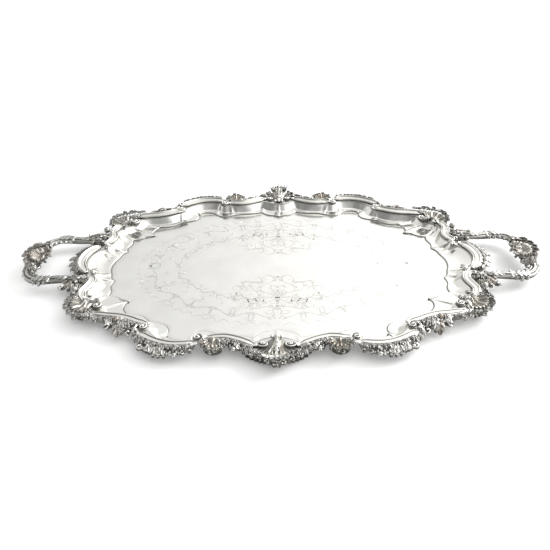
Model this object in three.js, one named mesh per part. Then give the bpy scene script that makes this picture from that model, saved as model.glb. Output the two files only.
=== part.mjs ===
// A two-handled serving tray of silver plate: a shaped and lobed sheet body, a cast border of
// reeded scrolls, foliage and shells soldered round its rim, and a cast handle at each end.
//
// Millimetres, +Z up. The origin is at the centre of the base, +X runs to the right-hand handle
// and +Y to the back. The tray is the same in all four quarters, so every outline below is
// drawn for the right back quarter and mirrored.
import * as THREE from "three";

// Driving dimensions
const SHEET = 1.8; // thickness of the body's sheet
const FLOOR_TOP = SHEET; // the floor lies flat on the table
const FLANGE_TOP = 13; // top of the flat rim that carries the border
const SOLDER_GAP = 0.3; // clearance between a casting and what it is soldered to
const CASTING_BASE = FLANGE_TOP + SOLDER_GAP;
const BAND_HEIGHT = 4.6; // reeded scrolls
const BAND_HALF_WIDTH = 5.3;
const FOLIAGE_HEIGHT = 7.5;
const CORNER_SHELL_HEIGHT = 9.5;
const CENTRE_SHELL_HEIGHT = 10.5;
const END_SCROLL_CENTRE_X = 234; // the end scroll is an arc about this point on the X axis
const END_SCROLL_RADIUS = 40;
const END_SCROLL_HALF_WIDTH = 6;
const END_SCROLL_HALF_ANGLE = 50; // degrees
const HANDLE_HALF_WIDTH = 5.4;
const HANDLE_SHELL_BASE = 16.9;
const HANDLE_SHELL_HEIGHT = 9;
const ROOT_LEAF_BASE = 17.7;
const ROOT_LEAF_HEIGHT = 5.6;

// The body's side wall is a ring of lobed panels with a crease between each two. For each panel,
// floor is its foot, rim is where it meets the flat flange, and edge is the flange's outer edge.
const PANELS = [
  {
    steps: 5,
    floor: [[236, 0], [235, 9], [231, 20]],
    rim: [[268, 0], [265.5, 13], [259, 23.5], [250, 30]],
    edge: [[284, 0], [283, 12], [277, 24], [268, 33]],
  },
  {
    steps: 2,
    floor: [[231, 20], [232, 28], [226, 36]],
    rim: [[250, 30], [248, 36]],
    edge: [[268, 33], [267, 38]],
  },
  {
    steps: 7,
    floor: [[226, 36], [221, 45], [220, 55], [222, 64]],
    rim: [[248, 36], [240, 49], [242, 60], [246, 70], [243, 79], [239, 84]],
    edge: [[267, 38], [274, 44], [273, 56], [262, 65], [257, 75], [256, 84]],
  },
  {
    steps: 6,
    floor: [[222, 64], [205, 68], [196, 77], [189, 89], [187, 103]],
    rim: [[239, 84], [231, 93], [222, 102], [217, 110]],
    edge: [[256, 84], [260, 100], [254, 115], [240, 121], [226, 123]],
  },
  {
    steps: 6,
    floor: [[187, 103], [178, 103], [165, 107], [155, 112]],
    rim: [[217, 110], [204, 115], [190, 117], [176, 121], [165, 127], [157, 132]],
    edge: [[226, 123], [212, 128], [200, 131], [188, 132], [178, 138], [168, 146]],
  },
  {
    steps: 4,
    floor: [[155, 112], [142, 118], [133, 122], [130, 129], [128, 140]],
    rim: [[157, 132], [151, 137], [150, 143]],
    edge: [[168, 146], [168, 150], [166, 153]],
  },
  {
    steps: 6,
    floor: [[128, 140], [123, 145], [112, 147], [103, 143]],
    rim: [[150, 143], [141, 153], [130, 160], [118, 163], [104, 163], [97, 161]],
    edge: [[166, 153], [158, 163], [143, 171], [125, 176], [108, 177], [100, 175]],
  },
  {
    steps: 4,
    floor: [[103, 143], [96, 136], [85, 135], [73, 139]],
    rim: [[97, 161], [90, 154], [80, 155]],
    edge: [[100, 175], [92, 172], [82, 171]],
  },
  {
    steps: 6,
    floor: [[73, 139], [62, 142.5], [45, 143.5], [28, 147]],
    rim: [[80, 155], [60, 152.5], [45, 156], [33, 162], [25, 165]],
    edge: [[82, 171], [70, 174], [55, 170], [40, 172], [30, 178]],
  },
  {
    steps: 4,
    floor: [[28, 147], [24, 143], [17, 138], [8, 136], [0, 133.5]],
    rim: [[25, 165], [17, 160], [8, 157], [0, 157]],
    edge: [[30, 178], [22, 188], [10, 195], [0, 197]],
  },
];

// The wall's section, from its foot to the flange: how far out, how far up, and how deep the
// middle of a lobe lies below the creases at its sides
const WALL_SECTION = [
  { out: 0.25, up: 0.13, lobe: 0 },
  { out: 0.55, up: 0.5, lobe: 1.2 },
  { out: 0.82, up: 0.85, lobe: 0.8 },
];

// Middle lines of the reeded scrolls, and the width of the foliage that follows each one outside
const END_S_SCROLL = [[255, 38], [247.5, 45], [245, 54], [247.5, 64], [250.5, 73], [245, 85]];
const SIDE_SCROLLS = {
  side_scroll_corner: {
    line: [[232, 108], [221, 116], [205, 120], [190, 122], [175, 127], [163, 132], [153, 134.5]],
    heads: { start: 6 },
    foliage: { from: 0.1, to: 0.8, widths: [6, 4, 12, 9, 10, 17, 14, 5] },
  },
  side_scroll_long: {
    line: [[160, 141], [157, 150], [148, 158], [135, 165], [120, 169], [104, 168], [93, 161]],
    heads: { start: 6, end: 6 },
    foliage: { from: 0.17, to: 0.88, widths: [4, 11, 12, 10, 11, 13, 5, 3] },
  },
  side_scroll_inner: {
    line: [[79, 160], [60, 158], [45, 162], [32, 168], [24, 171]],
    heads: { start: 5.5 },
    foliage: { from: 0.06, to: 0.85, widths: [8, 19, 18, 7, 12, 9, 4, 3] },
  },
};
const END_SCROLL = {
  heads: { start: 5.5, end: 5.5 },
  foliage: { from: 0.16, to: 0.84, widths: [3, 8, 4, 6, 12, 6, 4, 8, 3] },
};

// Shells: ribs spread from a hinge point, between two directions in degrees
const CORNER_SHELL = { hinge: [236, 92], from: -14, to: 89, radii: [27, 30, 33, 35, 33, 31] };
const CENTRE_SHELL = { hinge: [0, 160], from: 34, to: 146, radii: [35, 37, 38, 41, 38, 37, 35] };
const HANDLE_SHELL = { hinge: [330, 0], from: -76, to: 76, radii: [24, 27, 29, 32, 29, 27, 24] };

// Half of a handle, from where it laps the flange to its middle: x, y, middle z and half height
const HANDLE_LINE = [
  [259, 49, 15.4, 2],
  [280, 47, 15.4, 2],
  [291, 46.8, 15.4, 4.2],
  [304, 47.5, 15.4, 4.4],
  [318, 46, 15.4, 4.4],
  [331, 39, 14.6, 3.4],
  [340, 26, 14, 2.5],
  [344, 12, 14, 2.5],
  [345, 0, 14, 2.5],
];

function silver(color, roughness) {
  return new THREE.MeshStandardMaterial({ color, roughness, metalness: 1 });
}

const MATERIALS = {
  sheet: silver(0xe9e8e2, 0.2),
  reeded: silver(0xe4e2da, 0.18),
  foliage: silver(0xb3ae9f, 0.32),
  shell: silver(0xc4bba8, 0.28),
  handle: silver(0xd2cec3, 0.24),
};

function smoothCurve(points) {
  const vectors = points.map(([x, y, z = 0]) => new THREE.Vector3(x, y, z));
  return new THREE.CatmullRomCurve3(vectors, false, "centripetal");
}

// Value at t from 0 to 1 along a list of evenly spaced values
function between(values, t) {
  const place = t * (values.length - 1);
  const index = Math.min(Math.floor(place), values.length - 2);
  return THREE.MathUtils.lerp(values[index], values[index + 1], place - index);
}

function centroid(ring) {
  return ring.reduce((sum, point) => sum.add(point), new THREE.Vector3()).divideScalar(ring.length);
}

function signedVolume(points, faces) {
  let volume = 0;
  for (const [a, b, c] of faces) {
    volume += points[a].dot(points[b].clone().cross(points[c])) / 6;
  }
  return volume;
}

// A closed solid through a row of rings with the same number of points, capped at both ends
function solidThroughRings(rings) {
  const count = rings[0].length;
  const points = rings.flat();
  const faces = [];
  for (let row = 0; row < rings.length - 1; row += 1) {
    for (let i = 0; i < count; i += 1) {
      const a = row * count + i;
      const b = row * count + ((i + 1) % count);
      faces.push([a, a + count, b + count], [a, b + count, b]);
    }
  }
  const lastRow = (rings.length - 1) * count;
  const firstCentre = points.push(centroid(rings[0])) - 1;
  const lastCentre = points.push(centroid(rings[rings.length - 1])) - 1;
  for (let i = 0; i < count; i += 1) {
    const next = (i + 1) % count;
    faces.push([firstCentre, i, next], [lastCentre, lastRow + next, lastRow + i]);
  }
  if (signedVolume(points, faces) < 0) {
    faces.forEach((face) => face.reverse());
  }
  const geometry = new THREE.BufferGeometry();
  geometry.setAttribute("position", new THREE.Float32BufferAttribute(points.flatMap((p) => p.toArray()), 3));
  geometry.setIndex(faces.flat());
  return geometry;
}

function mirrored(geometry, sideX, sideY) {
  const copy = geometry.clone().scale(sideX, sideY, 1);
  if (sideX * sideY < 0) {
    copy.setIndex(Array.from(copy.index.array).reverse());
  }
  return copy;
}

// All round the tray: the quarter's points, then their mirror images in counter-clockwise order
function fullRing(quarter) {
  const last = quarter.length - 1;
  const forward = quarter.slice(0, last);
  const backward = quarter.slice(1).reverse();
  const place = (points, sideX, sideY) => points.map((p) => new THREE.Vector3(p.x * sideX, p.y * sideY, p.z));
  return [place(forward, 1, 1), place(backward, -1, 1), place(forward, -1, -1), place(backward, 1, -1)].flat();
}

// One quarter of an outline of the body, with how far each point is into its own lobe (0 to 1)
function quarterOutline(key) {
  const outline = [];
  for (const panel of PANELS) {
    const curve = smoothCurve(panel[key]);
    for (let step = 0; step < panel.steps; step += 1) {
      const t = step / panel.steps;
      outline.push({ point: curve.getPoint(t), lobe: Math.sin(Math.PI * t) });
    }
  }
  const [x, y] = PANELS[PANELS.length - 1][key].slice(-1)[0];
  outline.push({ point: new THREE.Vector3(x, y, 0), lobe: 1 });
  return outline;
}

function trayBody() {
  const floor = quarterOutline("floor");
  const rim = quarterOutline("rim");
  const edge = quarterOutline("edge");
  const rise = FLANGE_TOP - FLOOR_TOP;
  const level = (outline, z) => fullRing(outline.map(({ point }) => point.clone().setZ(z)));
  const wall = (section, drop) => {
    const points = floor.map(({ point, lobe }, i) => {
      const z = FLOOR_TOP + section.up * rise - section.lobe * lobe - drop;
      return point.clone().lerp(rim[i].point, section.out).setZ(z);
    });
    return fullRing(points);
  };
  const rings = [
    level(floor, FLOOR_TOP),
    ...WALL_SECTION.map((section) => wall(section, 0)),
    level(rim, FLANGE_TOP),
    level(edge, FLANGE_TOP),
    level(edge, FLANGE_TOP - SHEET),
    level(rim, FLANGE_TOP - SHEET),
    ...[...WALL_SECTION].reverse().map((section) => wall(section, SHEET)),
    level(floor, 0),
  ];
  return solidThroughRings(rings);
}

// Places along a line of this length: close together on the round heads, even between them
function stationsAlong(length, heads, spacing) {
  const headSteps = [0.02, 0.3, 1, 1.7];
  const start = heads.start ? headSteps.map((step) => step * heads.start) : [0];
  const end = heads.end ? headSteps.map((step) => length - step * heads.end).reverse() : [length];
  const first = start[start.length - 1];
  const last = end[0];
  const middleCount = Math.max(1, Math.round((last - first) / spacing));
  const middle = [];
  for (let i = 1; i < middleCount; i += 1) {
    middle.push(THREE.MathUtils.lerp(first, last, i / middleCount));
  }
  return [...start, ...middle, ...end];
}

// Half width of a scroll: a taper towards a plain end, a round volute boss at a headed one
function halfWidthAt(distance, length, heads, halfWidth) {
  const taper = (along, head) => (head ? 1 : Math.min(1, 0.3 + along / (3.5 * halfWidth)));
  const round = (along, head) => {
    const chord = head ? head ** 2 - (head - along) ** 2 : 0;
    return along < 2 * (head ?? 0) ? Math.sqrt(Math.max(0, chord)) : 0;
  };
  const toEnd = length - distance;
  const plain = halfWidth * taper(distance, heads.start) * taper(toEnd, heads.end);
  const boss = Math.max(round(distance, heads.start), round(toEnd, heads.end));
  const nearHead = distance < (heads.start ?? 0) || toEnd < (heads.end ?? 0);
  return nearHead ? boss : Math.max(plain, boss);
}

// Ring in the vertical plane across a line: section points are [sideways, up]
function ringAcross(curve, t, section, baseZ) {
  const middle = curve.getPointAt(t);
  const along = curve.getTangentAt(t);
  const outward = new THREE.Vector3(along.y, -along.x, 0).normalize();
  return section.map(([side, up]) => middle.clone().addScaledVector(outward, side).setZ(baseZ + up));
}

function scrollBand(curve, heads, halfWidth, spacing) {
  const length = curve.getLength();
  const rings = stationsAlong(length, heads, spacing).map((distance) => {
    const half = halfWidthAt(distance, length, heads, halfWidth);
    const height = BAND_HEIGHT * Math.min(1.15, 0.45 + (0.6 * half) / halfWidth);
    const section = [
      [-half, 0],
      [half, 0],
      [half, 0.5 * height],
      [0.55 * half, height],
      [-0.55 * half, height],
      [-half, 0.5 * height],
    ];
    return ringAcross(curve, distance / length, section, CASTING_BASE);
  });
  return solidThroughRings(rings);
}

// Leaves and buds that stand along the outer side of a scroll, as one casting
function foliageStrip(curve, heads, halfWidth, { from, to, widths }) {
  const length = curve.getLength();
  const steps = 2 * (widths.length - 1);
  const rings = [];
  for (let step = 0; step <= steps; step += 1) {
    const t = THREE.MathUtils.lerp(from, to, step / steps);
    const inner = halfWidthAt(t * length, length, heads, halfWidth) + SOLDER_GAP + 0.1;
    const frill = step % 2 === 0 ? 1 : 0.82;
    const outer = inner + between(widths, step / steps) * frill;
    const height = FOLIAGE_HEIGHT * (step % 2 === 0 ? 0.85 : 1);
    const section = [
      [inner, 0],
      [outer, 0],
      [outer, 0.3 * height],
      [0.4 * inner + 0.6 * outer, height],
      [inner, 0.7 * height],
    ];
    rings.push(ringAcross(curve, t, section, CASTING_BASE));
  }
  return solidThroughRings(rings);
}

// A ribbed fan with a scalloped edge, domed between its hinge and its edge
function shellFan({ hinge, from, to, radii }, innerRadius, baseZ, height) {
  const steps = 2 * (radii.length - 1);
  const rings = [];
  for (let step = 0; step <= steps; step += 1) {
    const t = step / steps;
    const angle = THREE.MathUtils.degToRad(THREE.MathUtils.lerp(from, to, t));
    const rib = step % 2 === 0 ? 1 : 0.9;
    const radius = between(radii, t) * (step % 2 === 0 ? 1 : 0.95);
    const dome = height * rib * (0.7 + 0.3 * Math.sin(Math.PI * t));
    const section = [
      [innerRadius, 0],
      [radius, 0],
      [radius, 0.35 * dome],
      [0.8 * radius, 0.85 * dome],
      [0.5 * radius, dome],
      [innerRadius, 0.6 * dome],
    ];
    const place = ([r, up]) =>
      new THREE.Vector3(hinge[0] + r * Math.cos(angle), hinge[1] + r * Math.sin(angle), baseZ + up);
    rings.push(section.map(place));
  }
  return solidThroughRings(rings);
}

// A domed rosette of leaves over the joint between a handle and the rim
function rootLeaf() {
  const centre = [269, 54];
  const lobes = 5;
  const levels = [
    { size: 1, up: 0 },
    { size: 1, up: 0.35 },
    { size: 0.6, up: 0.85 },
    { size: 0.2, up: 1 },
  ];
  const ring = ({ size, up }) => {
    const points = [];
    for (let i = 0; i < 4 * lobes; i += 1) {
      const angle = (i / (4 * lobes)) * 2 * Math.PI;
      const radius = size * (11.5 + 1.8 * Math.cos(lobes * angle));
      const x = centre[0] + radius * Math.cos(angle);
      const y = centre[1] + 1.1 * radius * Math.sin(angle);
      points.push(new THREE.Vector3(x, y, ROOT_LEAF_BASE + up * ROOT_LEAF_HEIGHT));
    }
    return points;
  };
  return solidThroughRings(levels.map(ring));
}

// The handle's bow: one closed bar from root to root, oval where it is free and flat where it
// laps the flange or passes under the shell
function handleBow() {
  const half = HANDLE_LINE.map(([x, y, z]) => [x, y, z]);
  const otherHalf = half.slice(0, -1).reverse().map(([x, y, z]) => [x, -y, z]);
  const curve = smoothCurve([...half, ...otherHalf]);
  const halfHeights = HANDLE_LINE.map((row) => row[3]);
  const allHeights = [...halfHeights, ...halfHeights.slice(0, -1).reverse()];
  const stepsPerPoint = 2;
  const steps = stepsPerPoint * (allHeights.length - 1);
  const sides = 8;
  const rings = [];
  for (let step = 0; step <= steps; step += 1) {
    const t = step / steps;
    const middle = curve.getPoint(t);
    const along = curve.getTangent(t);
    const outward = new THREE.Vector3(along.y, -along.x, 0).normalize();
    const halfHeight = between(allHeights, t);
    const ring = [];
    for (let i = 0; i < sides; i += 1) {
      const angle = ((i + 0.5) / sides) * 2 * Math.PI;
      const corner = 1 / Math.cos(Math.PI / sides);
      const side = HANDLE_HALF_WIDTH * corner * Math.cos(angle);
      const up = halfHeight * corner * Math.sin(angle);
      ring.push(middle.clone().addScaledVector(outward, side).add(new THREE.Vector3(0, 0, up)));
    }
    rings.push(ring);
  }
  return solidThroughRings(rings);
}

function endScrollArc() {
  const points = [];
  const steps = 8;
  const halfAngle = THREE.MathUtils.degToRad(END_SCROLL_HALF_ANGLE);
  for (let i = 0; i <= steps; i += 1) {
    const angle = THREE.MathUtils.lerp(-halfAngle, halfAngle, i / steps);
    const x = END_SCROLL_CENTRE_X + END_SCROLL_RADIUS * Math.cos(angle);
    points.push([x, END_SCROLL_RADIUS * Math.sin(angle)]);
  }
  return smoothCurve(points);
}

const tray = new THREE.Group();
tray.name = "serving_tray";

function add(name, geometry, material) {
  const mesh = new THREE.Mesh(geometry, material);
  mesh.name = name;
  tray.add(mesh);
}

const ENDS = [["right", 1], ["left", -1]];
const SIDES = [["back", 1], ["front", -1]];

function addInAllQuarters(name, geometry, material) {
  for (const [endName, sideX] of ENDS) {
    for (const [sideName, sideY] of SIDES) {
      add(`${name}_${endName}_${sideName}`, mirrored(geometry, sideX, sideY), material);
    }
  }
}

function addAtBothEnds(name, geometry, material) {
  for (const [endName, sideX] of ENDS) {
    add(`${name}_${endName}`, mirrored(geometry, sideX, 1), material);
  }
}

add("tray_body", trayBody(), MATERIALS.sheet);

const endArc = endScrollArc();
const endScroll = scrollBand(endArc, END_SCROLL.heads, END_SCROLL_HALF_WIDTH, 9);
const endLeaf = foliageStrip(endArc, END_SCROLL.heads, END_SCROLL_HALF_WIDTH, END_SCROLL.foliage);
addAtBothEnds("end_c_scroll", endScroll, MATERIALS.reeded);
addAtBothEnds("end_leaf", endLeaf, MATERIALS.foliage);

const sScroll = scrollBand(smoothCurve(END_S_SCROLL), { start: 4.8 }, BAND_HALF_WIDTH - 0.8, 7);
addInAllQuarters("end_s_scroll", sScroll, MATERIALS.reeded);

for (const [name, { line, heads, foliage }] of Object.entries(SIDE_SCROLLS)) {
  const curve = smoothCurve(line);
  addInAllQuarters(name, scrollBand(curve, heads, BAND_HALF_WIDTH, 8), MATERIALS.reeded);
  const leaves = foliageStrip(curve, heads, BAND_HALF_WIDTH, foliage);
  addInAllQuarters(name.replace("scroll", "foliage"), leaves, MATERIALS.foliage);
}

addInAllQuarters("corner_shell", shellFan(CORNER_SHELL, 9, CASTING_BASE, CORNER_SHELL_HEIGHT), MATERIALS.shell);

const centreShell = shellFan(CENTRE_SHELL, 6, CASTING_BASE, CENTRE_SHELL_HEIGHT);
for (const [sideName, sideY] of SIDES) {
  add(`centre_shell_${sideName}`, mirrored(centreShell, 1, sideY), MATERIALS.shell);
}

addAtBothEnds("handle_bow", handleBow(), MATERIALS.handle);
addAtBothEnds("handle_shell", shellFan(HANDLE_SHELL, 5, HANDLE_SHELL_BASE, HANDLE_SHELL_HEIGHT), MATERIALS.shell);
addInAllQuarters("handle_root_leaf", rootLeaf(), MATERIALS.foliage);

export default tray;
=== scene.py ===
"""Looks of a two-handled silver-plated serving tray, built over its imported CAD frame.

Shapes are worked out in millimetres in the tray's own frame: the origin is at the centre of the
base, +X runs to the right-hand handle, +Y to the back and +Z up. The tray is the same in all
four quarters, so each piece is drawn once, at the right or the back, and mirrored.
"""

import math

import bpy
import numpy as np
from mathutils import Matrix, Vector


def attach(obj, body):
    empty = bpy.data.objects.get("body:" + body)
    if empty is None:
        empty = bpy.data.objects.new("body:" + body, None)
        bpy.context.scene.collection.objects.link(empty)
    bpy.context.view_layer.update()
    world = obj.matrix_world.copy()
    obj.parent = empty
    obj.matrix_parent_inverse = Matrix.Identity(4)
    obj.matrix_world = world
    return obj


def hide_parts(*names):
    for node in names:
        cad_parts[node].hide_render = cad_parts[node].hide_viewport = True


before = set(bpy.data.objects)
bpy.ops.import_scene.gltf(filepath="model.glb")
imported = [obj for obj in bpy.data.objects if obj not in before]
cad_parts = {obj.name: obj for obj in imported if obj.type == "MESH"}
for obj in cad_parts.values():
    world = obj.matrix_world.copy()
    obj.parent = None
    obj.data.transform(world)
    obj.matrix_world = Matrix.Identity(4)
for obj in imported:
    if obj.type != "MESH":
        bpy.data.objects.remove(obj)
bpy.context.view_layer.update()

MM = 0.001
FLOOR_TOP = 1.8
FLANGE_TOP = 13.0
BAND_HALF_WIDTH = 5.3
QUARTERS = [
    ("right_back", 1, 1),
    ("left_back", -1, 1),
    ("right_front", 1, -1),
    ("left_front", -1, -1),
]
ENDS = [("right", 1, 1), ("left", -1, 1)]
SIDES = [("back", 1, 1), ("front", 1, -1)]
RADIAN = 57.3  # degrees


# ---------------------------------------------------------------- numbers and curves


def smooth_line(points, spacing=1.0):
    """Even points along a smooth curve through the given ones (centripetal Catmull-Rom)."""
    given = np.asarray(points, float)
    ends = [2 * given[0] - given[1], *given, 2 * given[-1] - given[-2]]
    dense = []
    for group in zip(ends, ends[1:], ends[2:], ends[3:]):
        gaps = [math.sqrt(max(np.linalg.norm(q - p), 1e-6)) for p, q in zip(group, group[1:])]
        knots = np.cumsum([0, *gaps])
        for t in np.linspace(knots[1], knots[2], 24, endpoint=False):
            dense.append(between_knots(knots, group, t))
    dense.append(given[-1])
    return resample(np.array(dense), spacing)


def between_knots(knots, points, t):
    """The Catmull-Rom point at t, between the second and third of four points."""
    def mix(p, q, s, e):
        return ((e - t) * p + (t - s) * q) / (e - s)

    ab, bc, cd = (mix(points[k], points[k + 1], knots[k], knots[k + 1]) for k in range(3))
    abc = mix(ab, bc, knots[0], knots[2])
    bcd = mix(bc, cd, knots[1], knots[3])
    return mix(abc, bcd, knots[1], knots[2])


def resample(line, spacing=None, count=None):
    """Even points along a line, at a spacing or a given number of them."""
    along = lengths(line)
    count = count or max(3, int(round(along[-1] / spacing)) + 1)
    even = np.linspace(0, along[-1], count)
    return np.stack([np.interp(even, along, column) for column in line.T], axis=1)


def lengths(line):
    """How far along the line each of its points is."""
    return np.concatenate([[0], np.cumsum(np.linalg.norm(np.diff(line, axis=0), axis=1))])


def tangents(line):
    """Unit steps forward along a line, at each of its points."""
    direction = np.gradient(line, axis=0)
    return direction / np.maximum(np.linalg.norm(direction, axis=1, keepdims=True), 1e-9)


def outward(line):
    """Unit steps to the right of a plan line, which is its outer side, at each of its points."""
    along = tangents(line)
    return np.stack([along[:, 1], -along[:, 0]], axis=1)


def full_turn(count):
    """Even angles all the way round."""
    return np.linspace(0, 2 * math.pi, count, endpoint=False)


def polar(centre, radius, angle):
    """Plan points at a distance from a centre, at an angle in radians."""
    return np.stack([centre[0] + radius * np.cos(angle), centre[1] + radius * np.sin(angle)], axis=-1)


def step(centre, distance, degrees):
    """The plan point a distance away from a centre in a heading."""
    return tuple(polar(centre, distance, math.radians(degrees)))


def spread(values, t):
    """Values at even places from 0 to 1, read at t."""
    return np.interp(t, np.linspace(0, 1, len(values)), values)


def spiral(centre, start, turns, end_radius, clockwise):
    """Points winding from start in towards centre."""
    offset = np.asarray(start, float) - centre
    radius = np.linalg.norm(offset)
    t = np.linspace(0, 1, 90)
    radii = radius * (end_radius / radius) ** (t**0.85)
    angles = math.atan2(offset[1], offset[0]) + (-1 if clockwise else 1) * t * turns * 2 * math.pi
    return polar(centre, radii, angles)


def ramp(value, low, high):
    """Eases from 0 at low to 1 at high."""
    t = np.clip((value - low) / (high - low), 0, 1)
    return t * t * (3 - 2 * t)


# ---------------------------------------------------------------- forms


class Form:
    """Closed bodies that make up one casting, with how dark each point is painted, for tarnish and for
    painted shade, and how warm each point is.
    """

    def __init__(self):
        self.points = []
        self.faces = []
        self.tarnish_and_shade = []
        self.warmth = []

    def rings(self, rings, tarnish_and_shade=0.0, warmth=0.0):
        """A closed body through rows of rings: shape (rows, around, 3)."""
        rows, around = rings.shape[:2]
        index = np.arange(rows * around).reshape(rows, around)
        after = np.roll(index, -1, axis=1)
        sides = np.stack([index[:-1], after[:-1], after[1:], index[1:]], axis=-1).reshape(-1, 4)
        first = np.full(around, rows * around)
        last = first + 1
        low = np.stack([first, after[0], index[0], first], axis=-1)
        high = np.stack([last, index[-1], after[-1], last], axis=-1)
        faces = np.vstack([sides, low, high])
        points = np.vstack([rings.reshape(-1, 3), rings[0].mean(axis=0), rings[-1].mean(axis=0)])
        a, b, c, d = (points[faces[:, k]] - points.mean(axis=0) for k in range(4))
        inside_out = (np.cross(a, b) * c).sum() + (np.cross(a, c) * d).sum() < 0
        if inside_out:
            faces = faces[:, ::-1]
        self.faces.append(faces + sum(len(p) for p in self.points))
        self.points.append(points)
        for store, values in ((self.tarnish_and_shade, tarnish_and_shade), (self.warmth, warmth)):
            values = np.broadcast_to(values, (rows, around))
            store.append(np.concatenate([values.ravel(), values[0, :1], values[-1, -1:]]))

    def slab(self, top, bottom, tarnish_and_shade, warmth):
        """A closed body between two sheets of the same shape (rows, columns, 3)."""
        marks = [np.broadcast_to(values, top.shape[:2]) for values in (tarnish_and_shade, warmth)]
        doubled = [np.hstack([values, values[:, ::-1]]) for values in marks]
        self.rings(np.hstack([top, bottom[:, ::-1]]), *doubled)

    def blade(self, plan, heights, thickness, tarnish_and_shade, warmth):
        """A thin plate over plan points (rows, columns, 2), with its upper side at the heights."""
        top = np.dstack([plan, heights])
        self.slab(top, top - (0, 0, thickness), np.clip(tarnish_and_shade, 0, 1), warmth)

    def piece(self, name, material, side_x=1, side_y=1, node=None, slot=None, smooth=True):
        """Makes the Blender object, mirrored to its side of the tray and riding on it."""
        points = np.vstack(self.points) * (side_x * MM, side_y * MM, MM)
        faces = np.vstack(self.faces)
        if side_x * side_y < 0:
            faces = faces[:, ::-1]
        mesh = bpy.data.meshes.new(name)
        corners = [list(dict.fromkeys(face)) for face in faces.tolist()]
        mesh.from_pydata(points.tolist(), [], corners)
        mesh.polygons.foreach_set("use_smooth", np.full(len(mesh.polygons), smooth))
        for label, values in (("tarnish_and_shade", self.tarnish_and_shade), ("warmth", self.warmth)):
            layer = mesh.attributes.new(label, "FLOAT", "POINT")
            layer.data.foreach_set("value", np.concatenate(values).astype(np.float32))
        mesh.materials.append(material)
        mesh.update()
        piece = bpy.data.objects.new(name, mesh)
        bpy.context.scene.collection.objects.link(piece)
        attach(piece, "root")
        if node:
            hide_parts(node)

    def pieces(self, places, name, material, node, slot):
        """One piece at each of QUARTERS, ENDS or SIDES."""
        for place, sx, sy in places:
            self.piece(f"{name}_{place}", material, sx, sy, f"{node}_{place}", slot)


def sweep(form, line, section, tarnish_and_shade, base=FLANGE_TOP, lift=0.0):
    """Sweeps a closed section along a plan line. section (places, points, 2) is millimetres outwards
    from the line and up from the base; lift raises each place."""
    plan = line[:, None] + outward(line)[:, None] * section[:, :, :1]
    z = base + section[:, :, 1] + np.reshape(lift, (-1, 1))
    form.rings(np.dstack([plan, z]), tarnish_and_shade)


def tube(form, path, radii, sides=8, tarnish_and_shade=0.0, warmth=0.0):
    """A round bar along a path in space, its underside darkened with painted shade."""
    path = np.asarray(path, float)
    radii = np.broadcast_to(radii, len(path))[:, None, None]
    along = tangents(path)
    side = np.cross(along, (0, 0, 1))
    side /= np.maximum(np.linalg.norm(side, axis=1, keepdims=True), 1e-6)
    upward = np.cross(side, along)
    angle = full_turn(sides)[:, None]
    rings = path[:, None] + radii * (np.cos(angle) * side[:, None] + np.sin(angle) * upward[:, None])
    shade = np.clip(tarnish_and_shade + 0.75 * ramp(0.5 - 0.5 * np.sin(angle[:, 0]), 0.35, 0.8), 0, 1)
    form.rings(rings, shade, warmth)


def ball(form, centre, radius, flat=1.0, ribs=0, tarnish_and_shade=0.0, warmth=0.0):
    """A bead, berry or ribbed bud, its underside darkened with painted shade and the grooves between its
    ribs with painted shade and tarnish.
    """
    angle = full_turn(6 * ribs or 12)
    tilt = np.linspace(-0.5, 0.5, 9)[:, None] * math.pi * 0.98
    groove = 1 - 0.14 * (0.5 - 0.5 * np.cos(ribs * angle))
    plan = polar(centre, radius * np.cos(tilt) * groove, angle)
    z = np.broadcast_to(centre[2] + radius * flat * np.sin(tilt), plan.shape[:2])
    shade = tarnish_and_shade + 0.9 * ramp(-np.sin(tilt), -0.1, 0.7) + 4 * (1 - groove)
    form.rings(np.dstack([plan, z]), np.clip(shade, 0, 1), warmth)


def mound(form, centre, reach, levels, around, tarnish_and_shade, warmth=0.0):
    """A low closed body of level rings. reach is its radii along X and Y, and each level is a share
    of them and a height."""
    angle = full_turn(around)
    rings = []
    for share, height in levels:
        x = centre[0] + share * reach[0] * np.cos(angle)
        y = centre[1] + share * reach[1] * np.sin(angle)
        rings.append(np.column_stack([x, y, np.full(around, height)]))
    form.rings(np.array(rings), tarnish_and_shade, warmth)


# ---------------------------------------------------------------- the tray's outlines

# The wall is a ring of lobed panels. FLOOR holds each panel's foot, RIM where it meets the flange and
# EDGE the flange's outer edge. A panel starts where the one before it ends.
FLOOR = [
    [(236, 0), (235, 9), (231, 20)],
    [(229, 28), (223, 35)],
    [(225, 46), (221, 58), (222, 66)],
    [(210, 70), (200, 77), (192, 79)],
    [(195.5, 85), (195, 94), (188.5, 104)],
    [(178, 104), (167, 108), (157, 117)],
    [(146, 120), (135, 125), (130, 134), (132, 143)],
    [(123, 148.5), (112, 148.5), (103, 143)],
    [(96, 136), (85, 135), (73, 139)],
    [(62, 142.5), (45, 143.5), (28, 147)],
    [(24, 143), (17, 138), (8, 136), (0, 133.5)],
]
RIM = [
    [(268, 0), (265.5, 13), (259, 23.5), (250, 30)],
    [(248, 36)],
    [(240, 49), (242, 60), (246, 70), (243, 79), (239, 84)],
    [(234, 90), (228, 96)],
    [(222, 102), (217, 110)],
    [(204, 115), (190, 117), (176, 121), (165, 127), (157, 132)],
    [(151, 137), (150, 143)],
    [(141, 153), (130, 160), (118, 163), (104, 163), (97, 161)],
    [(90, 154), (80, 155)],
    [(60, 152.5), (45, 156), (33, 162), (25, 165)],
    [(17, 160), (8, 157), (0, 157)],
]
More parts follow.
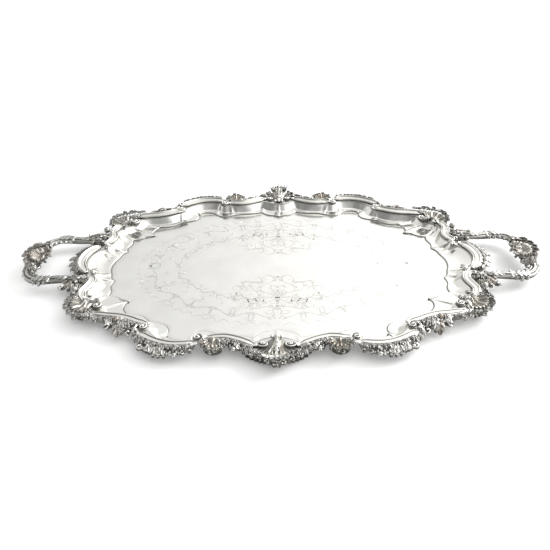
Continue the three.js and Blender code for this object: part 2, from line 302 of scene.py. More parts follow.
EDGE = [
    [(276, 0), (273, 16), (266, 28), (260, 34)],
    [(257, 38)],
    [(249, 48), (248, 58), (253, 70), (252, 80), (246, 86)],
    [(245, 93), (242, 100)],
    [(236, 108), (226, 115)],
    [(207, 123), (191, 125), (178, 129), (169, 135), (163, 139)],
    [(163, 144), (158, 150)],
    [(147, 162), (134, 169), (119, 172), (104, 171), (96, 169)],
    [(89, 166), (80, 163)],
    [(61, 161), (48, 164), (37, 169), (27, 175)],
    [(19, 181), (9, 186), (0, 188)],
]
PANEL_STEPS = [26, 14, 34, 28, 24, 34, 26, 34, 26, 34, 26]

END_CENTRE = (234.0, 0.0)
END_RADIUS = 40.0
S_LINE = [(255, 38), (247.5, 45), (245, 54), (247.5, 64), (250.5, 73), (248, 83), (243, 90)]
CORNER_LINE = [(219, 117.5), (205, 120), (190, 122), (175, 127), (163, 132.5), (150, 134.5)]
LONG_LINE = [(156, 153), (148, 158.5), (135, 165), (120, 169), (104, 169), (96, 167.5)]
INNER_LINE = [(84, 157), (76, 159), (60, 158), (45, 162), (32, 168), (22, 172)]
VOLUTE_B = (223.0, 102.0)
VOLUTE_A = (157.0, 140.0)
VOLUTE_C = (90.0, 158.0)


# ---------------------------------------------------------------- materials


class Wiring:
    """Short ways to add nodes to the node tree of a material or a world."""

    def __init__(self, owner):
        owner.use_nodes = True
        self.nodes = owner.node_tree.nodes
        self.links = owner.node_tree.links

    def fill(self, node, inputs):
        """Links a socket or sets a plain value into each named or numbered input."""
        for key, value in inputs.items():
            if isinstance(value, bpy.types.NodeSocket):
                self.links.new(value, node.inputs[key])
            else:
                node.inputs[key].default_value = value

    def node(self, kind, inputs):
        node = self.nodes.new(kind)
        self.fill(node, inputs)
        return node

    def noise(self, place, scale, detail):
        texture = self.node("ShaderNodeTexNoise", {"Vector": place, "Scale": scale, "Detail": detail})
        return texture.outputs["Fac"]

    def span(self, value, low, high, to_low, to_high, kind="LINEAR"):
        """Carries values from low to high over to values from to_low to to_high."""
        limits = {"From Min": low, "From Max": high, "To Min": to_low, "To Max": to_high}
        node = self.node("ShaderNodeMapRange", {"Value": value, **limits})
        node.interpolation_type = kind
        return node.outputs["Result"]

    def combined(self, operation, first, second, clamped=True):
        node = self.node("ShaderNodeMath", {0: first, 1: second})
        node.operation = operation
        node.use_clamp = clamped
        return node.outputs[0]

    def mixed(self, factor, first, second):
        """A mix of two colours."""
        node = self.nodes.new("ShaderNodeMix")
        node.data_type = "RGBA"
        self.fill(node, {0: factor, 6: first, 7: second})
        return node.outputs[2]


def silver_material(name, bright, dark, warm, roughness, scratch, spots=(-0.05, 0.06)):
    """Silver plate: bright metal that darkens towards its dark colour where its points are marked with
    tarnish and painted shade, and yellows with warmth.
    """
    material = bpy.data.materials.new(name)
    wiring = Wiring(material)
    span, combined, mixed = wiring.span, wiring.combined, wiring.mixed
    shader = wiring.nodes["Principled BSDF"]
    place = wiring.node("ShaderNodeTexCoord", {}).outputs["Object"]
    stretched = wiring.node("ShaderNodeMapping", {"Vector": place, "Scale": (1, 9, 1)}).outputs["Vector"]

    def attribute(label):
        node = wiring.node("ShaderNodeAttribute", {})
        node.attribute_name = label
        return node.outputs["Fac"]

    cloud = wiring.noise(place, 28.0, 4.0)
    fine = wiring.noise(place, 900.0, 3.0)
    # The darkening read from the mesh here is tarnish and painted shade, speckled and clouded.
    speckled = combined("ADD", attribute("tarnish_and_shade"), span(fine, 0.38, 0.68, *spots))
    depth = combined("MULTIPLY", speckled, span(cloud, 0.3, 0.7, 0.85, 1.05))
    duller = tuple(0.93 * c for c in bright)
    plate = mixed(span(cloud, 0.35, 0.68, 0.0, 1.0), (*bright, 1), (*duller, 1))
    yellowed = combined("MULTIPLY", attribute("warmth"), span(cloud, 0.3, 0.6, 0.6, 1.0))
    colour = mixed(depth, mixed(yellowed, plate, (*warm, 1)), (*dark, 1))

    streaks = wiring.noise(stretched, 160.0, 5.0)
    polish = span(streaks, 0.3, 0.75, roughness * 0.75, roughness * 1.35)
    rough = combined("ADD", polish, span(depth, 0.0, 1.0, 0.0, 0.3))
    pits = span(wiring.noise(place, 1500.0, 2.0), 0.0, 1.0, 0.0, 0.5)
    height = combined("ADD", pits, span(streaks, 0.0, 1.0, 0.0, 0.5))
    bump = wiring.node("ShaderNodeBump", {"Strength": scratch, "Distance": 0.00012, "Height": height})
    normal = bump.outputs["Normal"]
    wiring.fill(shader, {"Metallic": 1.0, "Base Color": colour, "Roughness": rough, "Normal": normal})
    return material


PLATE = silver_material(
    "silver_plate_sheet", (0.93, 0.922, 0.89), (0.15, 0.145, 0.13), (0.91, 0.86, 0.74), 0.18, 0.10
)
REEDED = silver_material(
    "silver_plate_reeded", (0.90, 0.885, 0.84), (0.085, 0.082, 0.072), (0.86, 0.77, 0.66), 0.17, 0.14
)
CAST = silver_material(
    "silver_plate_cast", (0.86, 0.85, 0.82), (0.10, 0.098, 0.085), (0.52, 0.44, 0.34), 0.24, 0.3,
    spots=(-0.12, 0.36),
)


# ---------------------------------------------------------------- the body


def panel_lines(panels):
    """Each panel's smooth outline."""
    lines, start = [], []
    for points in panels:
        lines.append(smooth_line(start + points, 0.5))
        start = points[-1:]
    return lines


def panel_points(panels):
    """The quarter's outline, in even steps along each panel."""
    outline = []
    for line, steps in zip(panel_lines(panels), PANEL_STEPS):
        outline.append(resample(line, count=steps + 1)[:-1])
    return np.vstack([*outline, panels[-1][-1]])


def across_panels():
    """Each point's place across its own panel from 0 to 1. The quarter starts and ends halfway
    across a panel."""
    across = [np.arange(steps) / steps for steps in PANEL_STEPS]
    across[0] = 0.5 + 0.5 * across[0]
    across[-1] = 0.5 * across[-1]
    return np.append(np.concatenate(across), 0.5)


def all_round(quarter):
    """Quarter values (points, k) carried round all four quarters; x and y change sign."""
    forward, backward = quarter[:-1], quarter[1:][::-1]
    flips = [(1, 1), (-1, 1), (-1, -1), (1, -1)]
    parts = []
    for i, (sx, sy) in enumerate(flips):
        part = (backward if i % 2 else forward).copy()
        part[:, 0] *= sx
        part[:, 1] *= sy
        parts.append(part)
    return np.vstack(parts)


WALL_FOOT = 1.2
WALL_RISE = 10.0


def wall_height(out, width, broad):
    """Height of the wall above the floor. Along the sides it has a gently sloping foot, then a
    steep upper part; where broad is 1, at the two ends, it is one smooth hollow."""
    corner = np.clip(1 - 9.0 / width, 0.3, 0.8)
    slope = 0.13 - 0.05 * ramp(width, 20, 34)
    turn = WALL_FOOT + slope * width * np.minimum(out, corner)
    steep = turn + (WALL_FOOT + WALL_RISE - turn) * (out - corner) / (1 - corner)
    kinked = np.where(out < corner, turn, steep)
    hollow = WALL_FOOT + WALL_RISE * (0.62 * out + 0.38 * out**2)
    return kinked * (1 - broad) + hollow * broad


# The small raised prongs on the floor, where two panels of the wall meet: the tip, then the root
PRONGS = [((191.5, 79), (205, 74.5)), ((188, 104.5), (198, 107)), ((129.5, 142), (134, 147))]


def body_form():
    """The floor, the lobed wall and the flange, as one closed body of rings from the middle of the
    floor out to the flange's edge and back underneath."""
    floor, rim, edge = (panel_points(panels) for panels in (FLOOR, RIM, EDGE))
    widths = np.repeat([lengths(resample(line, 0.5))[-1] for line in panel_lines(RIM)], PANEL_STEPS)
    widths = np.append(widths, widths[-1])
    across = across_panels()
    from_border = np.minimum(across, 1 - across) * widths
    spine = np.exp(-((floor[:, 0] / 2.0) ** 2))
    scoop = ramp(from_border, 0.0, 4.5) * (1 - spine)
    crest = np.exp(-((from_border / 1.3) ** 2))
    width = np.clip(np.linalg.norm(rim - floor, axis=1), 12, 48)
    broad = ramp(width, 18, 29) * ramp(rim[:, 1], 92, 76)
    rows, shade = [], []

    def add(plan, z, tarnish_and_shade):
        heights, ring_shade_and_tarnish = (np.broadcast_to(value, len(plan)) for value in (z, tarnish_and_shade))
        ring = all_round(np.column_stack([plan, heights, ring_shade_and_tarnish]))
        rows.append(ring[:, :3])
        shade.append(ring[:, 3])

    def on_wall(out):
        return floor + (rim - floor) * out

    def wall_row(out, drop, tarnish_and_shade):
        height = wall_height(out, width, broad)
        hollow = 1.5 * scoop * math.sin(math.pi * min(1.0, out)) ** 0.6
        raised = 0.7 * crest * math.sin(math.pi * out)
        z = FLOOR_TOP + height - hollow * np.minimum(1.0, height / 3.5) + raised - drop
        add(on_wall(out), np.maximum(z, 0.0), tarnish_and_shade)

    for share in (0.04, *np.arange(0.1, 0.96, 0.05)):
        add(floor * share, FLOOR_TOP, 0.0)
    # Painted shade: the sunk groove where the floor meets the wall is darkened, drawing a dark line round
    # the foot of the wall.
    groove = ((0.987, 0.1, 0.1), (0.993, 0.2, 0.5), (0.997, 0.2, 0.85), (1.0, 0.1, 0.95))
    for share, sunk, tarnish_and_shade in groove:
        add(floor * share, FLOOR_TOP - sunk, tarnish_and_shade)
    # The foot of the wall; its low riser is darkened with painted shade.
    for out, z, tarnish_and_shade in ((0.012, 0.9, 0.7), (0.03, 1.2, 0.0)):
        add(on_wall(out), FLOOR_TOP + z, tarnish_and_shade)
    for out in (0.06, 0.13, 0.2, 0.28, 0.36, 0.44, 0.5, 0.54, 0.57, 0.6, 0.63, 0.67, 0.73, 0.8, 0.87, 0.93):
        wall_row(out, 0.0, 0.0)
    # Painted shade on the top of the wall, just under the scrolls.
    for out in (0.96, 1.0):
        wall_row(out, 0.0, 0.7)
    # The flange, darkened with painted shade where the scrolls lie on it and underneath.
    for out, z, tarnish_and_shade in (
        (0.1, 0.25, 0.3), (0.25, 0.3, 0.2), (0.5, 0.3, 0.5), (0.7, 0.3, 0.9), (0.98, 0.3, 0.9),
        (1.0, 0.1, 0.9), (1.0, -1.2, 0.9), (0.95, -1.4, 0.9), (0.3, -1.4, 0.9), (0.0, -1.5, 0.9),
    ):
        add(rim + (edge - rim) * out, FLANGE_TOP + z, tarnish_and_shade)
    # The underside of the wall and then of the floor, darkened with painted shade.
    for out in (0.94, 0.87, 0.8, 0.73, 0.66, 0.6, 0.5, 0.36, 0.2, 0.06):
        wall_row(out, 1.3, 0.3)
    for share in (1.0, 0.985, 0.6, 0.25):
        add(floor * share, 0.0, 0.15)
    form = Form()
    rows = np.array(rows)
    x, y, z = (rows[..., k] for k in range(3))
    stained = np.exp(-((x / 46) ** 2) - ((np.abs(y) - 66) / 30) ** 2)
    ivory = 0.2 * ramp(np.abs(x), 185, 225) * (z > 2.5)
    form.rings(rows, np.array(shade), 0.4 * stained * (z > 1.5) + ivory)
    for tip, root in PRONGS:
        middle = (0.5 * (tip[0] + root[0]), 0.5 * (tip[1] + root[1]), 3.5)
        path = resample(np.array([(*root, 3.6), middle, (*tip, 3.0)]), 1.0)
        for _, sx, sy in QUARTERS:
            tube(form, path * (sx, sy, 1), np.linspace(0.4, 1.1, len(path)))
            ball(form, (tip[0] * sx, tip[1] * sy, 3.2), 1.15, tarnish_and_shade=0.4)
    return form


def etched(form, path, width):
    """One engraved stroke, as a hair-thin strip let into the floor. The tops of neighbouring strokes
    differ a little, so that they don't share a plane where they cross."""
    path = resample(np.asarray(path, float), 1.5)
    pointed = np.sin(np.linspace(0.15, math.pi - 0.15, len(path)))[:, None] ** 0.5
    side = 0.5 * width * outward(path) * pointed
    foot, top = FLOOR_TOP - 0.25, FLOOR_TOP + 0.03 + 0.005 * (len(form.points) % 12)
    corners = []
    for shift, z in ((side, foot), (side, top), (-side, top), (-side, foot)):
        corners.append(np.column_stack([path + shift, np.full(len(path), z)]))
    form.rings(np.stack(corners, axis=1), 0.3)


def flourish(form, centre, heading, size, hand):
    """An engraved S-scroll of two spirals, with leaf strokes springing from it."""
    turn = math.radians(heading)
    spin = np.array([(math.cos(turn), math.sin(turn)), (-math.sin(turn), math.cos(turn))])

    def placed(points):
        return np.asarray(centre) + size * (np.asarray(points) * (1, hand)) @ spin

    first = spiral((0.45, 0.28), (0.0, 0.0), 1.0, 0.15, False)
    whole = np.vstack([-first[::-1], first[1:]])
    etched(form, placed(whole), 1.3)
    for k, aim in ((0.28, 100), (0.36, 130), (0.44, 160), (0.56, -20), (0.64, -50), (0.72, -80)):
        foot = whole[int(k * len(whole))]
        tip = polar(foot, 0.34, math.radians(aim))
        middle = 0.5 * (foot + tip) + 0.12 * np.array([tip[1] - foot[1], foot[0] - tip[0]])
        etched(form, placed(smooth_line([foot, middle, tip], 0.05)), 2.0)


def blossom(form, centre, size):
    """An engraved flower of five petals."""
    angle = np.linspace(0, 2 * math.pi, 50)
    for reach in (size * (0.62 + 0.38 * np.abs(np.cos(2.5 * angle))), 0.28 * size):
        etched(form, polar(centre, reach, angle), 0.7)


def engraving_form():
    """A quarter of the engraved ring of scrolls and flowers, and of the panels near the middle."""
    form = Form()

    def on_oval(long, short, degrees):
        turn = math.radians(degrees)
        place = (long * math.cos(turn), short * math.sin(turn))
        return place, math.degrees(math.atan2(short * math.cos(turn), -long * math.sin(turn)))

    for i, degrees in enumerate((5, 20, 34, 46, 57, 67, 75.5, 83.5)):
        hand = 1 if i % 2 else -1
        place, heading = on_oval(176, 108, degrees)
        flourish(form, place, heading, 21, hand)
        blossom(form, on_oval(158, 92, degrees + 6)[0], 4.5 if i % 2 else 3.2)
        place, heading = on_oval(139, 80, degrees + 3)
        flourish(form, place, heading + 10, 13, -hand)
    for i in range(17):
        first, middle, last = (
            on_oval(long, short, degrees + 5 * i)[0]
            for long, short, degrees in ((199, 127, 3), (192, 121, 5.5), (199, 127, 8))
        )
        etched(form, smooth_line([first, middle, last], 0.8), 0.8)
    for x, y, heading, size, hand in (
        (14, 44, 60, 24, 1), (30, 58, 100, 24, -1), (12, 72, 20, 22, 1), (40, 76, 150, 22, 1),
        (20, 92, 170, 22, -1), (52, 62, 80, 18, 1), (7, 57, 90, 12, -1), (34, 40, 10, 18, 1),
    ):
        flourish(form, (x, y), heading, size, hand)
    for x, y, size in ((23, 70, 5), (8, 88, 4), (42, 55, 3.5), (33, 88, 4), (5, 35, 3.5)):
        blossom(form, (x, y), size)
    etched(form, [(0.8, 40), (0.8, 112)], 0.5)
    return form


def build_body():
    engraving = engraving_form()
    for quarter, sx, sy in QUARTERS:
        engraving.piece(f"floor_engraving_{quarter}", PLATE, sx, sy, slot="sheet", smooth=False)
    body_form().piece("body_sheet", PLATE, node="tray_body", slot="sheet")


# ---------------------------------------------------------------- reeded scrolls

# Across a broad scroll, from its inner foot over the reeds to its outer flank and back under it:
# sideways in half widths, up in millimetres above the flange, and darkening: painted shade at the
# inner foot, on the outer flank and underneath, painted shade and tarnish in the grooves between reeds
BAND_SECTION = [
    (-1.0, -0.2, 1.0), (-1.05, 1.6, 0.95), (-1.02, 2.9, 0.35), (-0.92, 3.6, 0.0), (-0.82, 3.4, 0.0),
    (-0.78, 2.5, 0.6), (-0.74, 1.6, 0.85), (-0.66, 1.6, 0.85), (-0.6, 2.6, 0.5), (-0.46, 3.2, 0.0),
    (-0.2, 3.2, 0.0), (0.05, 3.1, 0.03), (0.22, 3.3, 0.1), (0.32, 4.1, 0.15), (0.4, 5.2, 0.0),
    (0.5, 5.9, 0.0), (0.6, 5.9, 0.0), (0.68, 5.1, 0.4), (0.73, 4.3, 0.95), (0.8, 4.6, 0.6),
    (0.88, 4.9, 0.0), (0.98, 4.4, 0.05), (1.07, 3.3, 0.6), (1.14, 1.6, 0.85), (1.22, -0.8, 0.9),
    (1.29, -3.4, 0.85), (1.2, -5.0, 0.7), (1.05, -3.0, 0.9), (1.0, -0.2, 0.9),
]


def scroll_band(form, line, half_widths, lift=0.0):
    """A reeded scroll along a line. Where it is narrow it becomes a plain round bead."""
    across, above, section_shade_and_tarnish = np.array(BAND_SECTION).T
    half = half_widths[:, None]
    narrow = ramp(half, 3.6, 2.0)
    share = np.clip(half / BAND_HALF_WIDTH, 0, 1)
    up = np.where(above > 0, above * (0.35 + 0.65 * share), above)
    turn = np.linspace(math.pi, -0.6 * math.pi, len(BAND_SECTION))
    bead_up = 2.2 + 1.5 * np.sin(turn) * np.clip(half / 1.6, 0.3, 1)
    # The round bead's underside is darkened with painted shade.
    bead_underside_shade = 0.9 * ramp(-np.sin(turn), -0.5, 0.3)
    pairs = ((half * across, half * np.cos(turn)), (up, bead_up), (section_shade_and_tarnish, bead_underside_shade))
    side, up, tarnish_and_shade = (reeded * (1 - narrow) + bead * narrow for reeded, bead in pairs)
    sweep(form, line, np.dstack([side, up]), tarnish_and_shade, lift=lift)


def volute_band(line, start=None, end=None, plain_taper=0.3):
    """A scroll that may wind into a volute at either end, else tapers away.
    start and end are (centre, turns, clockwise). Gives its path, half widths and lift."""
    middle = smooth_line(line, 1.0)
    windings = []
    for spec, foot in ((start, middle[0]), (end, middle[-1])):
        windings.append(spiral(spec[0], foot, spec[1], 1.1, spec[2]) if spec else middle[:1])
    first, last = windings
    path = resample(np.vstack([first[::-1][:-1], middle, last[1:]]), 0.9)
    along = lengths(path)
    width = np.full(len(path), BAND_HALF_WIDTH)
    lift = np.zeros(len(path))
    for spec, distance, winding in ((start, along, first), (end, along[-1] - along, last)):
        if spec:
            wound = lengths(winding)[-1]
            radius = np.linalg.norm(path - np.asarray(spec[0]), axis=1)
            inside = ramp(distance, wound + 5.0, wound - 8.0)
            width = width * (1 - inside) + inside * np.clip(0.2 * radius, 0.75, BAND_HALF_WIDTH)
            lift = lift + 1.4 * ramp(distance, wound, 0.0)
        else:
            width = width * np.clip(plain_taper + distance / 16.0, 0, 1)
    return path, width, lift


def volute_well(form, centre, radius):
    """The ground inside a volute, darkened with painted shade and tarnish, with a bead at its eye."""
    levels = [(share, FLANGE_TOP + up) for share, up in ((1.0, -1.0), (0.97, 1.2), (0.6, 1.0), (0.15, 0.9))]
    mound(form, centre, (radius, radius), levels, 28, 0.85)
    ball(form, (*centre, FLANGE_TOP + 4.4), 1.2)


def end_arc(half_angle, count):
    """Angles and plan points along the end scroll."""
    angle = np.radians(np.linspace(-half_angle, half_angle, count))
    return angle, polar(END_CENTRE, END_RADIUS, angle)


def build_scrolls():
    for name, line, start, end, wells in (
        ("corner", CORNER_LINE, (VOLUTE_B, 2.1, True), None, [(VOLUTE_B, 6.2)]),
        (
            "long", LONG_LINE, (VOLUTE_A, 2.0, True), (VOLUTE_C, 1.9, False),
            [(VOLUTE_A, 6.0), (VOLUTE_C, 6.0)],
        ),
        ("inner", INNER_LINE, None, None, []),
    ):
        scroll = Form()
        path, width, lift = volute_band(line, start, end)
        scroll_band(scroll, path, width, lift)
        for centre, radius in wells:
            volute_well(scroll, centre, radius)
        scroll.pieces(QUARTERS, f"{name}_scroll", REEDED, f"side_scroll_{name}", "reeded")

    s_scroll = Form()
    path, width, lift = volute_band(S_LINE, plain_taper=0.5)
    scroll_band(s_scroll, path, width * 0.92, lift)
    curl(s_scroll, (258, 42), 3.4, 200, 1.1, 1.1, True, 15.0, 2.5)
    s_scroll.pieces(QUARTERS, "s_scroll", REEDED, "end_s_scroll", "reeded")

    end = Form()
    angle, arc = end_arc(52, 80)
    from_tip = 1 - np.abs(angle) / angle.max()
    scroll_band(end, arc, 6.0 * np.clip(0.35 + 2.4 * from_tip, 0, 1))
    for side in (1, -1):
        ball(end, (248.5, side * 33, FLANGE_TOP + 4.0), 2.9)
        for heading in (150, 185, 220):
            leaf(end, (253, side * 31), side * heading, 10, 5, 2, FLANGE_TOP + 3.4, 1.5, 1.4, tarnish_and_shade=0.35)
    end.pieces(ENDS, "c_scroll", REEDED, "end_c_scroll", "reeded")


# ---------------------------------------------------------------- leaves, curls and shells


def frond(
    form, root, heading, length, fingers=5, spread=50, low=16.0, fall=5.0, rise=1.4,
    warmth=0.0, tarnish_and_shade=0.0, notch=0.4, tip=0.8,
):
    """A fan of rounded leaf fingers springing from one root, with deep grooves between them."""
    t = np.linspace(0, 1, 6 * fingers + 1)[None, :]
    r = np.linspace(0, 1, 9)[:, None]
    finger = np.abs(np.sin(math.pi * fingers * t))
    envelope = 0.7 + 0.3 * np.sin(math.pi * t)
    reach = length * envelope * (1 - notch * (1 - finger**0.7))
    radius = 0.1 * length + (reach - 0.1 * length) * r
    angle = np.radians(heading - spread + 2 * spread * t)
    arch = np.sin(math.pi * np.clip(0.12 + 0.8 * r, 0, 1)) ** 0.8
    ridges = 1.1 * (finger**0.8 - 0.5) * ramp(r, 0.05, 0.5)
    z = low + rise * arch - fall * r**1.5 + ridges + tip * r**5
    # Painted shade and tarnish darken the grooves between the fingers; painted shade darkens the root.
    shade = 0.95 * (1 - ramp(finger, 0.25, 0.8)) + 0.5 * (1 - ramp(r, 0.0, 0.35)) + 0.12
    form.blade(polar(root, radius, angle), z, 1.5, shade + tarnish_and_shade, warmth)


def leaf(
    form, root, heading, length, width, lobes=3, low=16.0, fall=2.0, rise=2.0,
    bend=0.0, curl=1.0, warmth=0.0, tarnish_and_shade=0.0,
):
    """A long acanthus leaf: a veined blade with lobed sides, bending sideways by bend mm."""
    u = np.linspace(0, 1, 7 * lobes + 5)[:, None]
    v = np.linspace(-1, 1, 13)[None, :]
    off = np.abs(v)
    cycle = (lobes * u + 0.2) % 1.0
    scallop = 0.6 + 0.4 * np.sin(math.pi * np.clip(cycle, 0.02, 1) ** 0.8)
    envelope = np.sin(math.pi * (0.16 + 0.8 * u)) ** 0.75
    half = 0.5 * width * envelope * scallop
    x = length * (u + 0.12 * off * np.sin(math.pi * u))
    y = half * v + bend * u**2
    vein = 0.5 + 0.5 * np.cos(2 * math.pi * (lobes * u - 0.5 * off))
    midrib = np.exp(-((v / 0.14) ** 2)) * (1 - u)
    arch = rise * np.sin(math.pi * np.clip(u * 1.05, 0, 1)) ** 0.8 * (1 - 0.6 * off**1.6)
    z = low + arch + 0.7 * vein * off - 0.7 * midrib + curl * u**4 - fall * u**1.5
    turn = math.radians(heading)
    px = root[0] + x * math.cos(turn) - y * math.sin(turn)
    py = root[1] + x * math.sin(turn) + y * math.cos(turn)
    # Painted shade and tarnish between the veins, in the midrib and at the root; the tip is lightened as a
    # painted highlight.
    between_veins = 0.95 * ramp(1 - vein, 0.3, 0.8) * ramp(off, 0.1, 0.5)
    shade = between_veins + 0.9 * midrib + 0.4 * (1 - ramp(u, 0, 0.3))
    form.blade(np.dstack([px, py]), z, 1.4, shade + tarnish_and_shade - 0.3 * ramp(u, 0.8, 1.0), warmth)


def curl(form, centre, radius, start, turns, thickness, clockwise, low, rise, tarnish_and_shade=0.0):
    """A rolled-over tendril that ends in a bead, with the hollow it curls round, darkened with painted
    shade and tarnish.
    """
    winding = spiral(centre, step(centre, radius, start), turns, 0.28 * radius, clockwise)
    flat = resample(winding, spacing=0.7)
    t = np.linspace(0, 1, len(flat))
    thinning = thickness * (1 - 0.3 * t) * np.clip(t * 12 + 0.2, 0, 1)
    tube(form, np.column_stack([flat, low + rise * t]), thinning, tarnish_and_shade=tarnish_and_shade)
    levels = [(share, low + up) for share, up in ((0.85, -2.0), (0.9, -0.4), (0.1, -0.2))]
    mound(form, centre, (radius, radius), levels, 16, 0.75)
    ball(form, (*centre, low + rise), 0.34 * radius, tarnish_and_shade=tarnish_and_shade)


def bud(form, centre, radius, heading, low=12.0):
    """A ribbed bud lying in a cup of short leaves."""
    ball(form, (*centre, low + 1.5), radius, 0.85, 6)
    back = step(centre, 1.1 * radius, heading + 180)
    frond(form, back, heading, 1.9 * radius, 3, 55, low + 1.6, 1.5, 1.2)


def beside(line, x, out):
    """The place beside a line where it passes x, out mm on its outer side, and the way outwards."""
    middle = smooth_line(line, 0.5)
    k = int(np.argmin(np.abs(middle[:, 0] - x)))
    away = outward(middle)[k]
    return middle[k] + out * away, math.degrees(math.atan2(away[1], away[0]))


# Across the casting behind the leaves: outwards in shares of its depth, up in millimetres
GROUND_SECTION = [
    (0.0, -4.0), (0.0, 0.3), (0.3, 0.2), (0.6, -1.6), (0.85, -4.4), (1.0, -6.6), (0.9, -7.6), (0.4, -6.0),
]
GROUND_DROP = 7.6


def ground(form, line, x_from, x_to, depths):
    """The sloping casting behind the leaves, along the outside of a scroll, darkened almost fully with
    painted shade and tarnish where it lies under them.
    """
    high, foot = 17.0, 8.6
    middle = smooth_line(line, 0.8)
    part = middle[(middle[:, 0] >= x_to) & (middle[:, 0] <= x_from)]
    s = lengths(part)
    depth = spread(depths, np.linspace(0, 1, len(part)))
    depth = depth * (1 + 0.1 * np.sin(s * 1.7) + 0.07 * np.sin(s * 3.1 + 1))
    out, up = np.array(GROUND_SECTION).T
    bumps = 0.5 * np.sin(s * 2.3)[:, None] * np.sin(out * 9)
    side = 4.4 + depth[:, None] * out
    up = up * ((high - foot) / GROUND_DROP) + bumps
    sweep(form, part, np.dstack([side, up]), 0.95, base=high)


def spray(form, line, x_from, x_to, depths, seed):
    """Dense leafage along the outside of a scroll: fronds and curls hanging out under small ones."""
    high, foot, spacing = 17.8, 9.5, 6.0
    chance = np.random.default_rng(seed)
    count = max(2, int(round(abs(x_to - x_from) / spacing)))

    def at(share, out):
        return beside(line, x_from + (x_to - x_from) * share, out)

    for i in range(count):
        t = (i + chance.uniform(0.3, 0.7)) / count
        depth = float(spread(depths, t))
        root, heading = at(t, 4.4)
        lean = chance.uniform(-50, 50)
        length = depth * chance.uniform(0.75, 1.15)
        drop = (high - foot) * min(1, depth / 10) * chance.uniform(0.6, 1.0)
        if i % 2:
            slant = 58 if chance.random() < 0.7 else -58
            leaf(
                form, root, heading + slant, 1.5 * length, 0.75 * length, 3, high - 0.4, 0.8 * drop, 2.4,
                -0.025 * slant, 1.4, tarnish_and_shade=0.12,
            )
            ball(form, (*at(t, 4.4 + 0.85 * depth)[0], foot + 3.0), 0.17 * depth, tarnish_and_shade=0.05)
        else:
            fingers = int(chance.integers(3, 5))
            frond(form, root, heading + lean, length, fingers, 60, high, drop, 2.2, 0.0, 0.2, 0.3, 1.8)
        place, heading = at(t + 0.5 / count, 4.4 + 0.8 * depth)
        radius = (0.16 + 0.1 * chance.random()) * depth + 0.8
        curl(form, place, radius, heading + 90, 1.1, 0.9, bool(i % 2), foot + 2.2, 3.2, 0.05)
        root, heading = at(t + 0.5 / count, 4.0)
        heading = heading - 0.7 * lean
        frond(form, root, heading, 0.5 * depth, 3, 45, high + 1.2, 1.2, 1.5, 0.0, 0.22, tip=1.0)
        ball(form, (*at(t + 0.2 / count, 5.0 + 0.35 * depth)[0], high - 0.5), 1.2, tarnish_and_shade=0.1)


def shell_dish(
    form, hinge, start, stop, radii, levels, flutes, ribs=(), inner=4.0,
    warmth=0.0, tarnish_and_shade=0.4, depth=0.5, crown=(0, 0),
):
    """A fluted shell hollowed like a dish. levels are the heights at the hinge, in the hollow, on
    the rim and at the foot outside it; ribs are places from 0 to 1 across it with a raised ray."""
    t = np.linspace(0, 1, 10 * flutes + 1)[None, :]
    r = np.linspace(0, 1, 20)[:, None]
    ridge = 0.5 - 0.5 * np.cos(2 * math.pi * flutes * t)
    reach = spread(radii, t) * (0.92 + 0.08 * ridge**0.6)
    angle = np.radians(start + (stop - start) * t)
    radius = inner + (reach - inner) * r
    at_hinge, in_hollow, on_rim, at_foot = levels
    z = np.interp(r, (0.0, 0.35, 0.82, 0.9, 1.0), (at_hinge, in_hollow, on_rim, on_rim - 0.4, at_foot))
    z = z + depth * (ridge - 0.5) * ramp(r, 0.1, 0.7) * 2
    z = z + spread(crown, t) * r
    # Painted shade and tarnish darken the dish and the valleys between its flutes; the crest of each flute
    # on the rim is lightened as a painted highlight, and the foot outside the rim is darkened with painted
    # shade. The raised rays below are left without darkening.
    shade = tarnish_and_shade + 0.45 * (1 - ridge) * ramp(r, 0.2, 0.7)
    shade = shade - 0.5 * np.exp(-(((r - 0.82) / 0.07) ** 2)) * ridge + 0.5 * ramp(r, 0.88, 0.97)
    for place in ribs:
        ray = np.exp(-(((t - place) * (stop - start) / RADIAN * np.maximum(radius, 6) / 1.1) ** 2))
        ray = ray * ramp(r, 0.9, 0.7)
        z = z + 1.7 * ray
        shade = shade * (1 - 0.95 * ray)
    top = np.dstack([polar(hinge, radius, angle), z])
    under = top.copy()
    under[..., 2] = np.minimum(under[..., 2] - 1.6, in_hollow - 1.0)
    under[-1, :, 2] = top[-1, :, 2] - 1.0
    form.slab(top, under, np.clip(shade, 0, 1), warmth)


def border(
    form, edge, count, size, seed, low=18.0, fall=2.0, side=-2.0, hang=5.0,
    warmth=0.0, tarnish_and_shade=0.15, tip=1.6,
):
    """The frilled border of a shell: uneven little fronds standing out from its edge, with curls
    and beads hanging below them. The edge runs with the shell on its left, and may rise and fall."""
    chance = np.random.default_rng(seed)
    line = smooth_line(edge, 0.5)
    middle = line[:, :2]
    above = line[:, 2] if line.shape[1] == 3 else np.zeros(len(line))
    away = outward(middle)
    for i in range(count):
        k = int((i + chance.uniform(0.3, 0.7)) / count * (len(middle) - 1))
        high = low + above[k]
        out = away[k]
        heading = math.degrees(math.atan2(out[1], out[0]))
        grown = size * chance.uniform(0.75, 1.25)
        lean = chance.uniform(-35, 35)
        droop = fall + chance.uniform(-1.5, 2.5)
        fingers = int(chance.integers(3, 6))
        root = middle[k] + side * out
        frond(form, root, heading + lean, grown, fingers, 50, high, droop, 1.5, warmth, tarnish_and_shade, 0.5, tip)
        place = middle[k] + (side + 0.55 * size) * out
        if i % 3 == 0:
            curl(form, place, 0.34 * size, heading + 90, 1.0, 0.8, bool(i % 2), high - hang, 2.0, tarnish_and_shade)
        elif i % 3 == 1:
            ball(form, (*place, high - hang + 1.0), 0.2 * size, tarnish_and_shade=tarnish_and_shade + 0.1)


# ---------------------------------------------------------------- foliage castings


